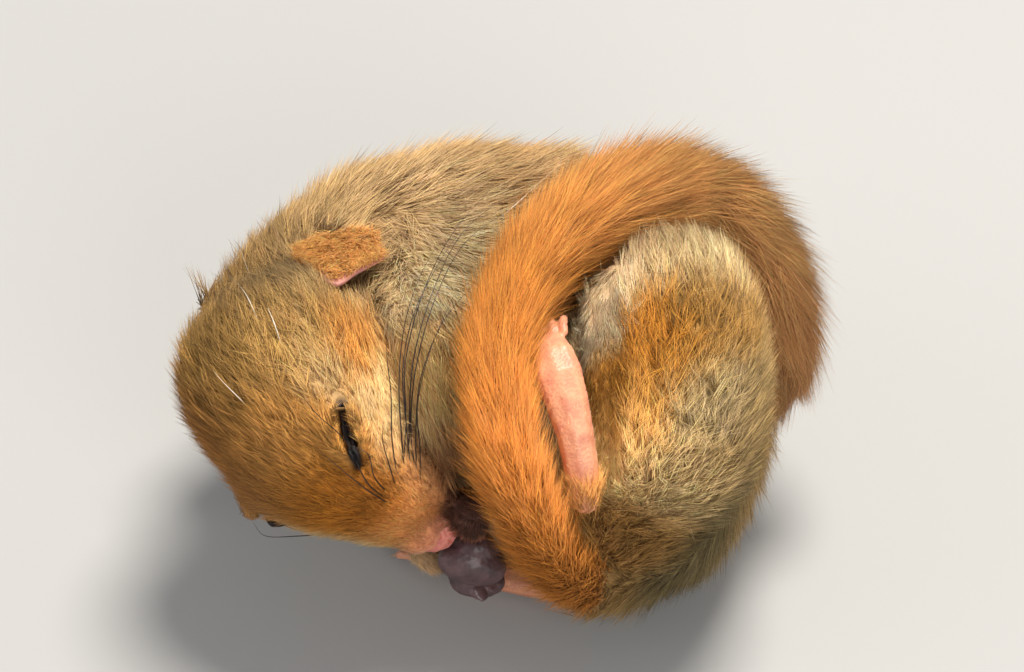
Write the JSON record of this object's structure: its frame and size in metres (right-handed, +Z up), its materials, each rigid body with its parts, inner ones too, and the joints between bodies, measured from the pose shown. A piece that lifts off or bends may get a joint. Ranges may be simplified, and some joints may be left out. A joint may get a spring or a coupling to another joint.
{
  "type": "hazel dormouse",
  "caption": "Sleeping hazel dormouse, life size, curled in a ball on its right side with its bushy orange tail wrapped over belly and haunch.",
  "frame": {"origin": "on the floor under the middle of the bounding box", "axes": "+Z up; the animal lies on its right side, so its left side faces up. +X runs from the head towards the rump across the ball, +Y runs away from the face towards the curve of the back"},
  "size_m": [0.0504, 0.0412, 0.0342],
  "materials": {
    "coat": "short dense golden-buff fur",
    "tail_coat": "long bushy orange fur",
    "bare_skin": "bare pink skin, slightly moist",
    "dark_paw": "bare purplish-grey skin",
    "eye": "black rim of closed lids, moist"
  },
  "bodies": {
    "root": {"head": "coat", "nose": "bare_skin", "ear_left": "bare_skin", "ear_right": "bare_skin", "eye_left": "eye", "eye_right": "eye", "neck": "coat", "torso_front": "coat", "torso_rear": "coat", "upper_arm_left": "coat", "forearm_left": "coat", "hand_left": "bare_skin", "upper_arm_right": "coat", "forearm_right": "coat", "hand_right": "dark_paw", "thigh_left": "coat", "shank_left": "coat", "foot_left": "bare_skin", "thigh_right": "coat", "shank_right": "coat", "foot_right": "bare_skin", "tail_base": "tail_coat", "tail_middle": "tail_coat", "tail_tip": "tail_coat"}
  },
  "joints": []
}
